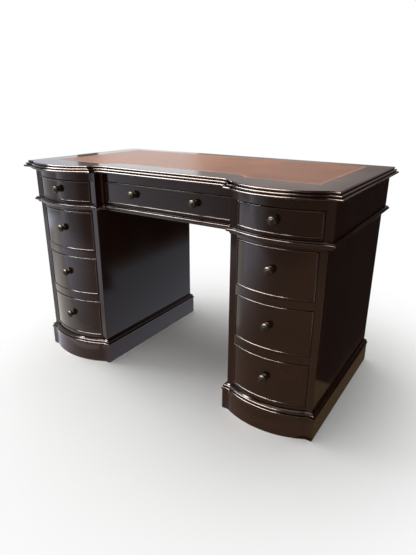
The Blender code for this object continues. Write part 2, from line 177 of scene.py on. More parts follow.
bpy.ops.mesh.primitive_plane_add(size=60.0, location=(0.0, 0.0, 0.0))
floor = bpy.context.object
floor.name = "studio_floor"
floor_finish, tree = new_material("floor_paint")
tree.nodes.clear()
place = add_node(tree, "TexCoord", "Object", {})
reach = add_node(tree, "VectorMath", "Value", {0: place}, operation="LENGTH")
fade = remap(tree, reach, white_from, white_at, curve="SMOOTHERSTEP")
seen = compute(tree, "MULTIPLY", fade, seen_as_white(tree))
paint = add_node(tree, "BsdfDiffuse", "BSDF", {"Color": (0.90, 0.90, 0.89)})
glow = add_node(tree, "Emission", "Emission", {"Strength": 1.0})
surface = add_node(tree, "MixShader", "Shader", {"Fac": seen, 1: paint, 2: glow})
add_node(tree, "OutputMaterial", None, {"Surface": surface})
floor.data.materials.append(floor_finish)
print("floor fades to white from", white_from, "to", white_at, "m")

# %% [markdown]
# The world is white wherever the camera or a polished face looks at it, and a dimmer grey where it
# lights the desk, so the wood mirrors a bright room without being washed out by it.

# %% The world
world_light = 0.46
world = bpy.data.worlds.new("studio")
world.use_nodes = True
bpy.context.scene.world = world
tree = world.node_tree
tree.nodes.clear()
room = add_node(tree, "Background", "Background", {"Color": white, "Strength": world_light})
backdrop = add_node(tree, "Background", "Background", {"Color": white, "Strength": 1.0})
sky = add_node(tree, "MixShader", "Shader", {"Fac": seen_as_white(tree), 1: room, 2: backdrop})
add_node(tree, "OutputWorld", None, {"Surface": sky})
bpy.context.scene.view_settings.view_transform = "Standard"
print("world light", world_light)

# %% [markdown]
# Two soft lamps light the desk, a slightly cool one at the left, for a window, and a soft box above.
# Polish doesn't mirror them: what it mirrors comes next.

# %% The lamps
def add_lamp(name, place, target, size, power, colour):
    """A soft rectangular lamp that looks at a point."""
    data = bpy.data.lights.new(name, "AREA")
    data.shape = "RECTANGLE"
    data.size, data.size_y = size
    data.energy = power
    data.color = colour
    lamp = bpy.data.objects.new(name, data)
    lamp.location = place
    lamp.rotation_euler = (Vector(target) - Vector(place)).to_track_quat("-Z", "Y").to_euler()
    lamp.visible_camera = False
    lamp.visible_glossy = False
    bpy.context.scene.collection.objects.link(lamp)
    return lamp.name


print(add_lamp("window_lamp", (-2.6, -0.40, 1.75), (0.0, -0.20, 0.6), (1.6, 2.2), 50.0, (0.94, 0.97, 1.0)))
print(add_lamp("overhead_lamp", (-0.3, 0.1, 2.8), (0.0, 0.0, 0.6), (2.2, 2.2), 38.0, (1.0, 0.99, 0.97)))

# %% [markdown]
# ## What the polish mirrors
# Polished wood is a dark mirror, so what it mirrors decides how it looks. A photographer who works
# with a glossy piece on white sets cards and flags round it. The cards here show only in reflections:
# they block no light and no view. A card has one colour, or a ramp along a direction of the room.

# %% Cards that only reflections see
def by_place(tree, value):
    """A value as it is, or the output of a ramp along a direction of the room."""
    if not isinstance(value, dict):
        return value
    place = add_node(tree, "TexCoord", "Object", {})
    along = add_node(tree, "VectorMath", "Value", {0: place, 1: value["along"]}, operation="DOT_PRODUCT")
    return ramp(tree, compute(tree, "ADD", along, value["offset"]), value["stops"])


def glow_only(name, colour, strength):
    """A surface that glows, for cards and flags."""
    made, tree = new_material(name)
    tree.nodes.clear()
    sockets = {"Color": by_place(tree, colour), "Strength": by_place(tree, strength)}
    light = add_node(tree, "Emission", "Emission", sockets)
    add_node(tree, "OutputMaterial", None, {"Surface": light})
    return made


def only_in_reflections(card, name, finish):
    """Make a card part of the stage that only polished surfaces see."""
    card.name = name
    card.data.materials.append(finish)
    for ray in ("camera", "diffuse", "shadow", "volume_scatter"):
        setattr(card, "visible_" + ray, False)


print("card helpers ready")

# %% [markdown]
# Cards and pieces are shaped in edit mode: open it, pick faces or edges, use a tool, close it again.
# Here they are picked by their place or by the way they face.

# %% Open, pick and pull
merge_distance = 0.00002


def use(piece):
    """Make a piece the only one selected."""
    bpy.ops.object.select_all(action="DESELECT")
    piece.select_set(True)
    bpy.context.view_layer.objects.active = piece


@contextmanager
def editing(piece):
    """Edit mode on one piece, for the lines that stand under it."""
    use(piece)
    bpy.ops.object.mode_set(mode="EDIT")
    yield
    bpy.ops.object.mode_set(mode="OBJECT")


def pick(kind, test=lambda item: True):
    """In edit mode, select the faces or edges that pass a test, or all of that kind."""
    bpy.ops.mesh.select_mode(type=kind)
    bpy.ops.mesh.select_all(action="DESELECT")
    mesh = bmesh.from_edit_mesh(bpy.context.object.data)
    picked = [item for item in (mesh.faces if kind == "FACE" else mesh.edges) if test(item)]
    for item in picked:
        item.select_set(True)
    mesh.select_flush_mode()
    bmesh.update_edit_mesh(bpy.context.object.data)
    return len(picked)


def pick_all():
    """In edit mode, select everything."""
    bpy.ops.mesh.select_all(action="SELECT")


def pull(x, y, z):
    """Extrude what is picked along a step."""
    bpy.ops.mesh.extrude_region_move(TRANSFORM_OT_translate={"value": (x, y, z)})


def middle(item):
    """The middle of a face or an edge."""
    return sum((v.co for v in item.verts), Vector()) / len(item.verts)


print("corners closer than", merge_distance, "m are merged")

# %% [markdown]
# A ring of grey cards stands round the desk, pale near the floor and dark above, cooler on the left
# than on the right, with one opening at the back left. It has a black roof, and a carpet that goes
# from cool to brown. A black flag with a return keeps the desk's right side as dark as it should be.

# %% The ring, its roof and its carpet
ring_radius = 3.2
ring_height = 3.4
opening_from, opening_to = 124.7, 142.5
grey_by_side = {"along": (0.33, 0.0, 0.0), "offset": 1.0, "stops": (
    (0.25, (0.95, 0.98, 1.05)), (0.42, (0.52, 0.47, 0.45)), (0.72, (0.60, 0.53, 0.50)),
    (1.0, (0.34, 0.29, 0.27)),
)}
dark_above = {"along": (0.0, 0.0, 0.25), "offset": 0.0, "stops": ((0.50, white), (0.72, (0.05, 0.05, 0.05)))}
tan_by_side = {"along": (0.5, 0.0, 0.0), "offset": 0.6, "stops": (
    (0.0, (1.6, 1.7, 2.0)), (0.78, (0.56, 0.63, 0.75)), (0.88, (0.13, 0.09, 0.05)),
)}
flag_black = glow_only("flag_black", (1.0, 0.80, 0.72), 0.02)


def in_opening(face):
    """Whether a face of the ring stands in its opening."""
    spot = middle(face)
    return opening_from < math.degrees(math.atan2(spot.y, spot.x)) < opening_to


bpy.ops.mesh.primitive_cylinder_add(
    vertices=180, radius=ring_radius, depth=ring_height, end_fill_type="NOTHING",
    location=(0.0, 0.0, ring_height / 2.0),
)
bpy.ops.object.transform_apply(location=True)
ring = bpy.context.object
with editing(ring):
    print("faces taken out of the ring:", pick("FACE", in_opening))
    bpy.ops.mesh.delete(type="FACE")
only_in_reflections(ring, "card_ring", glow_only("card_grey", grey_by_side, dark_above))
carpet_tan = glow_only("carpet_tan", tan_by_side, 1.0)
for name, z, shade in (("card_roof", ring_height, flag_black), ("card_carpet", 0.001, carpet_tan)):
    bpy.ops.mesh.primitive_circle_add(vertices=90, radius=ring_radius, fill_type="NGON")
    bpy.ops.transform.translate(value=(0.0, 0.0, z))
    bpy.ops.object.transform_apply(location=True)
    only_in_reflections(bpy.context.object, name, shade)

# %% The black flag at the right side
flag_x, flag_y = 1.6, 0.07
flag_width, flag_height, flag_return = 1.96, 0.76, 2.4
bpy.ops.mesh.primitive_plane_add(size=1.0, location=(flag_x, flag_y, flag_height / 2.0))
side_flag = bpy.context.object
side_flag.rotation_euler = (math.radians(90.0), 0.0, 0.0)
side_flag.scale = (flag_width, flag_height, 1.0)
bpy.ops.object.transform_apply(location=True, rotation=True, scale=True)
with editing(side_flag):
    pick("EDGE", lambda edge: middle(edge).x < flag_x - flag_width / 2.0 + merge_distance)
    pull(0.0, flag_return, 0.0)
only_in_reflections(side_flag, "side_flag", flag_black)
print("side flag", [round(s, 2) for s in side_flag.dimensions])

# %% [markdown]
# Inside the ring stand the cards that draw single reflections. The window card and the ceiling card
# are high up and very bright: they draw the thin clear lines along reeds and beads. A warm soft card
# in front fills the drawers. A card in the ring's opening lays a pale sheen over that part of the
# leather, and a post beside it ends the sheen. A low wall and a floor card in front show in the
# drawers and plinths. A lit strip of floor and a sunlit patch give the pedestals their soft streaks.

# %% Where the cards stand
wall_shades = {"along": (0.28, 0.0, 0.0), "offset": 0.72, "stops": (
    (0.0, (2.6, 2.8, 3.3)), (0.37, (1.0, 1.05, 1.22)), (0.6, (0.40, 0.32, 0.28)), (1.0, (0.39, 0.27, 0.19)),
)}
apron_shades = {"along": (0.4, 0.0, 0.0), "offset": 0.5, "stops": (
    (0.0, (2.0, 2.1, 2.5)), (0.52, (0.70, 0.50, 0.37)), (1.0, (0.80, 0.54, 0.35)),
)}
patch_light = {"along": (-0.36, 1.0, 0.0), "offset": 0.3888, "stops": (
    (0.0, (1.2, 1.2, 1.2)), (0.12, (1.9, 1.9, 1.9)), (0.35, (1.9, 1.9, 1.9)), (1.0, (0.9, 0.9, 0.9)),
)}
patch_outline = [(-0.30, -0.50), (-0.30, -0.37), (-0.66, -0.37), (-0.66, 0.9), (-2.6, 0.9), (-2.6, -1.33)]


def bearing(degrees, radius):
    """The place on the floor at a bearing from the middle of the desk."""
    return radius * math.cos(math.radians(degrees)), radius * math.sin(math.radians(degrees))


def upright(start, end, low, high):
    """The corners of an upright card between two places on the floor."""
    return [(*start, low), (*end, low), (*end, high), (*start, high)]


def level(near, far, z):
    """The corners of a level card between two opposite corners."""
    return [(*near, z), (far[0], near[1], z), (*far, z), (near[0], far[1], z)]


opening_feet = bearing(opening_from, 3.1), bearing(opening_to, 3.1)
post_feet = bearing(opening_to, 3.0), bearing(146.2, 3.0)
cards = [
    ("window_card", upright((-1.9, -2.3), (-1.9, 0.1), 1.95, 3.3), (1.0, 0.98, 0.96), 50.0),
    ("front_soft_card", upright((-0.8, -2.5), (2.8, -2.5), 1.4, 3.2), (1.0, 0.90, 0.84), 3.0),
    ("ceiling_card", level((-1.9, -2.7), (0.05, 0.4), 3.3), (1.0, 0.86, 0.80), 50.0),
    ("bright_opening", upright(*opening_feet, 0.0, 2.6), white, 1.28),
    ("window_post", upright(*post_feet, 0.0, 1.7), (1.0, 0.90, 0.84), 0.22),
    ("front_wall_card", upright((-3.0, -1.9), (3.0, -1.9), 0.0, 1.3), wall_shades, 1.0),
    ("front_floor_card", level((-3.0, -3.0), (3.0, -0.28), 0.002), apron_shades, 1.0),
    ("lit_floor_card", level((1.1, -1.0), (1.9, -0.42), 0.003), (1.0, 0.84, 0.68), 3.0),
    ("sunlit_patch", [(x, y, 0.003) for x, y in patch_outline], (1.0, 0.97, 0.93), patch_light),
]
for name, corners, colour, strength in cards:
    bpy.ops.mesh.primitive_circle_add(vertices=len(corners), radius=0.5, fill_type="NGON")
    card = bpy.context.object
    for corner, place in zip(card.data.vertices, corners):
        corner.co = place
    only_in_reflections(card, name, glow_only(name + "_glow", colour, strength))
print("cards", [card[0] for card in cards])

# %% [markdown]
# ## Modelling helpers
# A board's outline is drawn by putting down one vertex, extruding it along the straight parts and
# spinning it round the curved ones. It is then filled and pulled up to the board's thickness.

# %% Draw and fill an outline
arc_steps = 28


def start_outline(x, y, z):
    """Put down a single vertex, in edit mode."""
    bpy.ops.object.select_all(action="DESELECT")
    bpy.ops.mesh.primitive_plane_add(size=0.01, location=(x, y, z))
    bpy.ops.object.transform_apply(location=True)
    bpy.ops.object.mode_set(mode="EDIT")
    bpy.ops.mesh.select_mode(type="VERT")
    bpy.ops.mesh.merge(type="CENTER")


def walk(*steps):
    """Extrude the vertex along each step in turn."""
    for x, y in steps:
        pull(x, y, 0.0)


def swing(centre, degrees, steps):
    """Spin the vertex round a point, to the left for positive degrees."""
    bpy.ops.mesh.spin(steps=steps, angle=math.radians(-degrees), center=centre, axis=(0.0, 0.0, 1.0))


def fill_outline():
    """Close the outline with one face and leave edit mode."""
    pick_all()
    bpy.ops.mesh.remove_doubles(threshold=merge_distance)
    pick_all()
    bpy.ops.mesh.edge_face_add()
    bpy.ops.object.mode_set(mode="OBJECT")
    return bpy.context.object


print("arcs have", arc_steps, "steps")

# %% [markdown]
# The left half of the desk mirrors the right. A board that runs across the whole desk is drawn as a
# right half and mirrored. A piece of the right pedestal is copied to the left in the same way.

# %% Mirror, raise and copy
def mirror_half(piece):
    """Complete a half outline across the middle of the desk, as one face."""
    use(piece)
    bpy.ops.object.modifier_add(type="MIRROR")
    piece.modifiers["Mirror"].merge_threshold = merge_distance
    bpy.ops.object.modifier_apply(modifier="Mirror")
    with editing(piece):
        pick("FACE")
        bpy.ops.mesh.dissolve_faces()
    return piece


def raise_slab(piece, height):
    """Pull an outline up into a board."""
    with editing(piece):
        pick("FACE")
        pull(0.0, 0.0, height)
        pick_all()
        bpy.ops.mesh.normals_make_consistent(inside=False)
    return piece


def copy_of(piece, shift=(0.0, 0.0, 0.0)):
    """Another piece with its own mesh, moved by a shift."""
    use(piece)
    bpy.ops.object.duplicate(linked=False)
    bpy.ops.transform.translate(value=shift)
    bpy.ops.object.transform_apply(location=True)
    return bpy.context.object


def mirror_copy(piece):
    """The same piece on the other side of the desk, with its faces turned outwards again."""
    twin = copy_of(piece)
    with editing(twin):
        pick_all()
        bpy.ops.transform.mirror(constraint_axis=(True, False, False), center_override=(0.0, 0.0, 0.0))
        bpy.ops.mesh.normals_make_consistent(inside=False)
    return twin


print("mirror and copy ready")

# %% [markdown]
# A maker takes the sharpness off every edge. Here edges are bevelled, and each piece is then closed
# and shaded, so that its curves look round while its corners stay crisp.

# %% Round, seal and smooth
def is_level(edge):
    """Whether an edge lies flat."""
    return abs(edge.verts[0].co.z - edge.verts[1].co.z) < merge_distance


def is_open(edge):
    """Whether an edge isn't closed by two faces."""
    return len(edge.link_faces) != 2


def round_edges(piece, radius, segments, test, clamp=False):
    """Bevel the edges of a piece that pass a test."""
    with editing(piece):
        count = pick("EDGE", test)
        bpy.ops.mesh.bevel(offset=radius, segments=segments, profile=0.5, affect="EDGES", clamp_overlap=clamp)
    return count


def seal(piece, title):
    """Merge stray corners, turn all faces outwards, and print the size and how many edges are open."""
    with editing(piece):
        pick_all()
        bpy.ops.mesh.remove_doubles(threshold=merge_distance)
        bpy.ops.mesh.normals_make_consistent(inside=False)
        count = pick("EDGE", is_open)
    print(title, [round(side, 4) for side in piece.dimensions], "m,", count, "open edges")


def smooth(piece, degrees=32.0):
    """Shade the curves smooth, keep the corners crisp and the flats flat."""
    use(piece)
    bpy.ops.object.shade_smooth_by_angle(angle=math.radians(degrees))
    bpy.ops.object.modifier_add(type="WEIGHTED_NORMAL")
    piece.modifiers[-1].keep_sharp = True
    bpy.ops.object.modifier_apply(modifier=piece.modifiers[-1].name)
    return piece


def finish(piece, node):
    """Close and shade a piece and let it stand for its node."""
    seal(piece, node)
    stand_for(smooth(piece), node)


def both_sides(piece, node):
    """Finish a piece for a node at the right, and its mirrored copy for the node at the left."""
    finish(mirror_copy(piece), node.replace("right", "left"))
    finish(piece, node)


print("finishing helpers ready")

# %% [markdown]
# ## The serpentine line
# The desk's front line is the same on every board: an ear, a bow forward over the pedestal, a second
# ear at the kneehole, a step back through a small hollow, and a straight middle.

# %% Measures of the front
low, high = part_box("pedestal_right_inner_side")
case_inner, case_front = low[:2]
opening_inner = high[0]
low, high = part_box("pedestal_right_outer_side")
case_outer = high[0]
opening_outer = low[0]
frieze_opening_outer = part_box("frieze_side_right")[0][0]
case_bow = 0.031
centre_setback = 0.033
frieze_centre = case_front + centre_setback
frieze_cove = 0.009
cove_steps = 8


def bow_arc(x0, x1, bow):
    """Radius and half angle of the arc that bulges by the bow between two places."""
    half_chord = (x1 - x0) / 2.0
    radius = (half_chord**2 + bow**2) / (2.0 * bow)
    return radius, math.asin(half_chord / radius)


def swing_bow(x0, x1, ear_y, bow, z):
    """Draw the bow from its left ear to its right ear."""
    radius, half_angle = bow_arc(x0, x1, bow)
    swing(((x0 + x1) / 2.0, ear_y - bow + radius, z), math.degrees(2.0 * half_angle), arc_steps)


print("bow radius", [round(value, 4) for value in bow_arc(opening_inner, opening_outer, case_bow)])

# %% [markdown]
# The half outline is drawn by one function, from the middle of the kneehole, because the top, the
# waist moulding and the frieze boards differ only in their sizes.

# %% Draw half of a serpentine board
def serpentine(z, half, back_y, ear_y, bow, bow_x0, bow_x1, cusp_x, middle_y, cove):
    """The whole outline of a board with the serpentine front, as one face."""
    start_outline(0.0, middle_y, z)
    walk((cusp_x - cove, 0.0))
    swing((cusp_x - cove, middle_y - cove, z), -90.0, cove_steps)
    walk((0.0, ear_y - middle_y + cove), (bow_x0 - cusp_x, 0.0))
    swing_bow(bow_x0, bow_x1, ear_y, bow, z)
    walk((half - bow_x1, 0.0), (0.0, back_y - ear_y), (-half, 0.0))
    return mirror_half(fill_outline())


top_low, top_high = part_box("top_board")
top_half, top_back = top_high[:2]
top_bow = 0.048
top_ear = top_low[1] + top_bow
top_outer_ear = 0.036
top_inner_ear = 0.018
top_cusp_projection = 0.0115
top_cusp = case_inner - top_cusp_projection
top_cove = 0.028
top_outline = serpentine(
    0.0, top_half, top_back, top_ear, top_bow, top_cusp + top_inner_ear, top_half - top_outer_ear,
    top_cusp, top_ear + centre_setback, top_cove,
)
print("top outline has", len(top_outline.data.vertices), "corners")

# %% [markdown]
# ## Moulded edges
# A moulding plane cuts the same profile all along an edge. Here the outline is cut out once for each
# point of the profile, like a stack of paper templates, each trimmed by that point's inset and laid
# at its height. Each template is bridged to the one below, and the last is filled. Two templates on
# one level are kept slightly apart, because a bridge between flat loops can come out twisted. Trimming
# keeps the ears and hollows sharp, which a curve with a bevel profile would round off.

# %% Stack templates into a moulded board
level_gap = 0.00005


def inset(width, depth=0.0):
    """Inset the picked faces, and raise or sink them."""
    bpy.ops.mesh.inset(thickness=width, depth=depth, use_even_offset=True)


def template(outline, trim, z, keep_face):
    """One trimmed copy of the outline at a height."""
    made = copy_of(outline)
    with editing(made):
        pick("FACE")
        if trim > 0.0:
            inset(trim)
            bpy.ops.mesh.select_all(action="INVERT")
            bpy.ops.mesh.delete(type="FACE")
        pick_all()
        bpy.ops.transform.translate(value=(0.0, 0.0, z))
        if not keep_face:
            bpy.ops.mesh.delete(type="ONLY_FACE")
    return made


def join(piece, other):
    """Join another piece into one."""
    use(piece)
    other.select_set(True)
    bpy.ops.object.join()


def moulded(outline, profile):
    """A solid board whose edge follows a profile of (inset, height) from its underside up."""
    board = template(outline, *profile[0], True)
    below = profile[0][1]
    for trim, z in profile[1:]:
        below = max(z, below + level_gap)
        join(board, template(outline, trim, below, False))
        with editing(board):
            pick("EDGE", is_open)
            bpy.ops.mesh.bridge_edge_loops()
    with editing(board):
        pick("EDGE", is_open)
        bpy.ops.mesh.edge_face_add()
    bpy.data.objects.remove(outline, do_unlink=True)
    return board


def half_round(tip, bottom, height, depth, steps=8):
    """A reed or bead as (inset, height) points from its foot up."""
    turns = [math.pi * (step / steps - 0.5) for step in range(steps + 1)]
    return [(tip + depth * (1.0 - math.cos(a)), bottom + height * (1.0 + math.sin(a)) / 2.0) for a in turns]


def hollow(foot, lip, bottom, height, steps=6):
    """A cove under a nose as (inset, height) points from its foot up."""
    turns = [math.pi / 2.0 * step / steps for step in range(steps + 1)]
    return [(foot + (lip - foot) * (1.0 - math.cos(a)), bottom + height * math.sin(a)) for a in turns]


print("templates lie at least", level_gap, "m apart")

# %% [markdown]
# ## The reeded top
# The edge of the top is worked with three reeds, each set back behind the one below. The profile is
# three half-rounds, one after the other.

# %% The three reeds
reed_count = 3
reed_step = 0.0062
reed_depth = 0.0048
reed_height = (top_high[2] - top_low[2]) / reed_count
reeds = []
for reed in range(reed_count):
    reeds += half_round(reed * reed_step, top_low[2] + reed * reed_height, reed_height, reed_depth)
top = moulded(top_outline, reeds)
seal(top, "reeded top")

# %% [markdown]
# ## Leather and its bed
# The hide lies in a shallow bed, flush with the wood. Its front edge sweeps back over the kneehole in
# a soft S on each side: a turn, a short straight and a turn the other way. The bed is the same
# outline, drawn a little larger, cut into the top and given a floor.

# %% The leather's outline
leather_low, leather_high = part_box("leather_inset")
leather_fit = 0.0003
sweep_setback = 0.042
sweep_width = 0.066
sweep_turn = 45.0
sweep_radius = (sweep_width - sweep_setback) / (2.0 * (math.sqrt(2.0) - 1.0))
sweep_straight = math.sqrt(2.0) * sweep_width - 2.0 * sweep_radius
sweep_side = sweep_straight / math.sqrt(2.0)


def leather_plan(z, extra):
    """The leather's outline as one face, larger by the extra."""
    half, back_y, front_y = leather_high[0] + extra, leather_high[1] + extra, leather_low[1] - extra
    start_x = top_cusp - sweep_width / 2.0
    start_outline(0.0, front_y + sweep_setback, z)
    walk((start_x, 0.0))
    swing((start_x, front_y + sweep_setback - sweep_radius, z), -sweep_turn, cove_steps)
    walk((sweep_side, -sweep_side))
    swing((start_x + sweep_width, front_y + sweep_radius, z), sweep_turn, cove_steps)
    walk((half - start_x - sweep_width, 0.0), (0.0, back_y - front_y), (-half, 0.0))
    return mirror_half(fill_outline())


print("sweep radius", round(sweep_radius, 4), "straight", round(sweep_straight, 4))

# %% Cut the bed into the top
broad_area = 0.02
bed_depth = leather_high[2] - leather_low[2] + leather_fit


def is_broad(face, facing=1.0):
    """Whether a large face looks up, or down for -1."""
    return face.normal.z * facing > 0.9 and face.calc_area() > broad_area


bed = leather_plan(top_high[2], leather_fit)
with editing(bed):
    pick_all()
    pull(0.0, 0.0, -bed_depth)
    pick("FACE", lambda face: abs(middle(face).z - top_high[2]) < merge_distance)
    bpy.ops.mesh.delete(type="ONLY_FACE")
with editing(top):
    pick("FACE", is_broad)
    bpy.ops.mesh.delete(type="ONLY_FACE")
join(top, bed)
with editing(top):
    pick("EDGE", is_open)
    bpy.ops.mesh.fill(use_beauty=True)
finish(top, "top_board")

# %% [markdown]
# The hide is pressed along its edge with a fine tooled line, a few millimetres in. A person tools it
# with a hot wheel, which leaves a groove with a soft shine. Two insets mark the line's width, and the
# edge between them is pressed down a little.

# %% The leather with its tooled line
hide_edge = 0.0006
hide_arris = 0.0004
hide_margin = 0.002
line_from_edge = 0.0075
line_width = 0.0022
line_depth = 0.0004
leather = raise_slab(leather_plan(leather_low[2], 0.0), leather_high[2] - leather_low[2])
with editing(leather):
    pick("FACE", is_broad)
    inset(hide_edge)
    inset(line_from_edge)
    inset(line_width / 2.0, -line_depth)
    inset(line_width / 2.0, line_depth)
    inset(hide_margin)


def on_rim(edge):
    """An edge along the top of the leather's side."""
    at_top = abs(middle(edge).z - leather_high[2]) < merge_distance
    return at_top and any(abs(face.normal.z) < 0.1 for face in edge.link_faces)


round_edges(leather, hide_arris, 2, on_rim)
finish(leather, "leather_inset")

# %% [markdown]
# ## The waist moulding
# Between the frieze and the pedestals runs a moulded board: a hollow, a thick nose and a small bead
# set back above it. It follows the frieze's outline, moved outward, in the same stack of templates.

# %% The waist moulding
waist_low, waist_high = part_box("waist_board")
waist_projection = 0.011
waist_ear = 0.0055
waist_foot, waist_lip, waist_cove_height = 0.0092, 0.0042, 0.0075
waist_nose, waist_round, bead_setback = 0.0085, 0.0035, 0.0030
nose_z = waist_low[2] + waist_cove_height
bead_z = nose_z + waist_nose
waist_profile = hollow(waist_foot, waist_lip, waist_low[2], waist_cove_height)
waist_profile += half_round(0.0, nose_z, waist_nose, waist_round)
waist_profile += half_round(bead_setback, bead_z, waist_high[2] - bead_z, waist_round, 6)
waist_outline = serpentine(
    0.0, waist_high[0], waist_high[1], case_front - waist_projection, case_bow,
    opening_inner - waist_ear, frieze_opening_outer + waist_ear,
    case_inner - waist_projection, frieze_centre - waist_projection, frieze_cove,
)
waist = moulded(waist_outline, waist_profile)
finish(waist, "waist_board")

# %% [markdown]
# ## Frieze boards
# The frieze has a thin floor and a deeper rail over the drawers. Both follow the serpentine line. The
# two stiles beside the middle drawer carry the hollow that steps back to the kneehole.

# %% Frieze rail, floor and stiles
arris = 0.0006
arris_segments = 2
hair = 0.0001


def front_edges(edge):
    """Level edges along the front of a board."""
    return is_level(edge) and any(face.normal.y < -0.3 for face in edge.link_faces)


for node in ("frieze_top_rail", "frieze_floor"):
    low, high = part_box(node)
    board = serpentine(
        low[2], high[0], high[1], case_front, case_bow, opening_inner, high[0] - hair,
        case_inner, frieze_centre, frieze_cove,
    )
    raise_slab(board, high[2] - low[2])
    round_edges(board, arris, arris_segments, front_edges)
    finish(board, node)

low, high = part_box("frieze_stile_right")
cove_start = case_inner - frieze_cove
start_outline(low[0], frieze_centre, low[2])
walk((cove_start - low[0], 0.0))
swing((cove_start, frieze_centre - frieze_cove, low[2]), -90.0, cove_steps)
walk((0.0, case_front - frieze_centre + frieze_cove), (high[0] - case_inner, 0.0))
walk((0.0, high[1] - case_front), (low[0] - high[0], 0.0))
stile = raise_slab(fill_outline(), high[2] - low[2])
stile_front = case_front + merge_distance
round_edges(stile, arris, arris_segments, lambda edge: not is_level(edge) and middle(edge).y < stile_front)
both_sides(stile, "frieze_stile_right")

# %% [markdown]
# ## Pedestal boards
# Between the two sides of each pedestal lie a floor, two rails and a cap, all bowed at the front. A
# rail is a bar along the front with a thin dust board behind it: the board is cut across behind the
# bar, and the underside of its back part is pushed up.

# %% Caps, floors and rails
dust_board_from = case_front + 0.034
dust_board = 0.010
for name in ("floor", "rail_lower", "rail_upper", "cap"):
    low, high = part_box("pedestal_right_" + name)
    start_outline(low[0], case_front, low[2])
    swing_bow(low[0], high[0], case_front, case_bow, low[2])
    walk((0.0, high[1] - case_front), (low[0] - high[0], 0.0))
    board = raise_slab(fill_outline(), high[2] - low[2])
    if name.startswith("rail"):
        with editing(board):
            pick_all()
            bpy.ops.mesh.bisect(plane_co=(0.0, dust_board_from, 0.0), plane_no=(0.0, 1.0, 0.0))
            pick("FACE", lambda face: is_broad(face, -1.0) and middle(face).y > dust_board_from)
            pull(0.0, 0.0, high[2] - low[2] - dust_board)
    round_edges(board, arris, arris_segments, front_edges)
    both_sides(board, "pedestal_right_" + name)

# %% [markdown]
# ## Plinths
# Each pedestal stands on a hollow frame with two beads round its upper edge. The moulded board is
# built first. Then its upper and lower faces are inset by the thickness of the frame and bridged
# through, which opens it.

# %% The plinths
plinth_low, plinth_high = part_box("pedestal_right_plinth")
plinth_projection = plinth_high[0] - case_outer
plinth_bow = 0.035
plinth_ear = 0.024
plinth_wall = 0.024
plinth_face = 0.0025
plinth_front = case_front - plinth_projection
lower_bead, upper_bead, plinth_fillet, bead_depth = 0.0115, 0.009, 0.0035, 0.005
upper_setback = 0.0035
upper_bead_z = plinth_high[2] - plinth_fillet - upper_bead
lower_bead_z = upper_bead_z - lower_bead
start_outline(plinth_low[0], plinth_front, 0.0)
walk((plinth_ear, 0.0))
swing_bow(plinth_low[0] + plinth_ear, plinth_high[0] - plinth_ear, plinth_front, plinth_bow, 0.0)
walk((plinth_ear, 0.0), (0.0, plinth_high[1] - plinth_front), (plinth_low[0] - plinth_high[0], 0.0))
plinth_profile = [(plinth_face, plinth_low[2]), (plinth_face, lower_bead_z)]
plinth_profile += half_round(0.0, lower_bead_z, lower_bead, bead_depth)[1:]
plinth_profile += half_round(upper_setback, upper_bead_z, upper_bead, bead_depth)
plinth_profile += [(plinth_projection - 3.0 * hair, plinth_high[2])]
plinth = moulded(fill_outline(), plinth_profile)
seal(plinth, "solid plinth")


def is_hole(face):
    """Whether a large level face stands clear of the plinth's sides."""
    clear = min(abs(v.co.x - plinth_low[0]) for v in face.verts) > plinth_wall * 0.9
    return clear and (is_broad(face) or is_broad(face, -1.0))


with editing(plinth):
    pick("FACE", is_broad)
    inset(plinth_wall + plinth_face - plinth_projection)
    pick("FACE", lambda face: is_broad(face, -1.0))
    inset(plinth_wall)
    pick("FACE", is_hole)
    bpy.ops.mesh.bridge_edge_loops()
both_sides(plinth, "pedestal_right_plinth")

# %% [markdown]
# ## Drawer fronts
# A drawer front is a bowed board with a cock bead, a thin strip that stands proud all round the face
# and protects the veneer. The strip is an inset of the face: the rim keeps its height and the field
# sinks back behind it. Its two edges are rounded.

# %% A cock-beaded front
bead_width = 0.005
bead_proud = 0.0025
bead_slope = 0.0008
bead_round = 0.0023
bead_segments = 5
front_thickness = 0.020
front_depth = front_thickness + bead_proud


def make_front(low, high, bow):
    """One drawer front in its place."""
    ear = low[1] + bow
    centre_x = (low[0] + high[0]) / 2.0
    radius, half_angle = bow_arc(low[0], high[0], bow) if bow else (None, None)

    def bead_limit(x):
        """How far back the bead reaches at an x."""
        sagitta = radius - math.sqrt(max(radius**2 - (x - centre_x) ** 2, 0.0)) - bow if bow else 0.0
        return ear + sagitta + bead_proud / 2.0

    def on_bead(edge):
        """An outer or inner edge of the cock bead, at the front."""
        spot = middle(edge)
        from_edge = min(spot.x - low[0], high[0] - spot.x, spot.z - low[2], high[2] - spot.z)
        folded = edge.calc_face_angle(0.0) > math.radians(40.0)
        return folded and from_edge < bead_width + merge_distance and spot.y < bead_limit(spot.x)

    start_outline(low[0], ear, low[2])
    if bow:
        swing_bow(low[0], high[0], ear, bow, low[2])
        walk((0.0, front_depth))
        centre = (centre_x, ear - bow + radius + front_depth, low[2])
        swing(centre, -math.degrees(2.0 * half_angle), arc_steps)
    else:
        walk((high[0] - low[0], 0.0), (0.0, front_depth), (low[0] - high[0], 0.0))
    board = raise_slab(fill_outline(), high[2] - low[2])
    with editing(board):
        pick("FACE", lambda face: face.normal.y < -0.5 and middle(face).y < ear + front_thickness / 2.0)
        inset(bead_width)
        inset(bead_slope, -bead_proud)
    print("bead edges", round_edges(board, bead_round, bead_segments, on_bead, clamp=True))
    return board


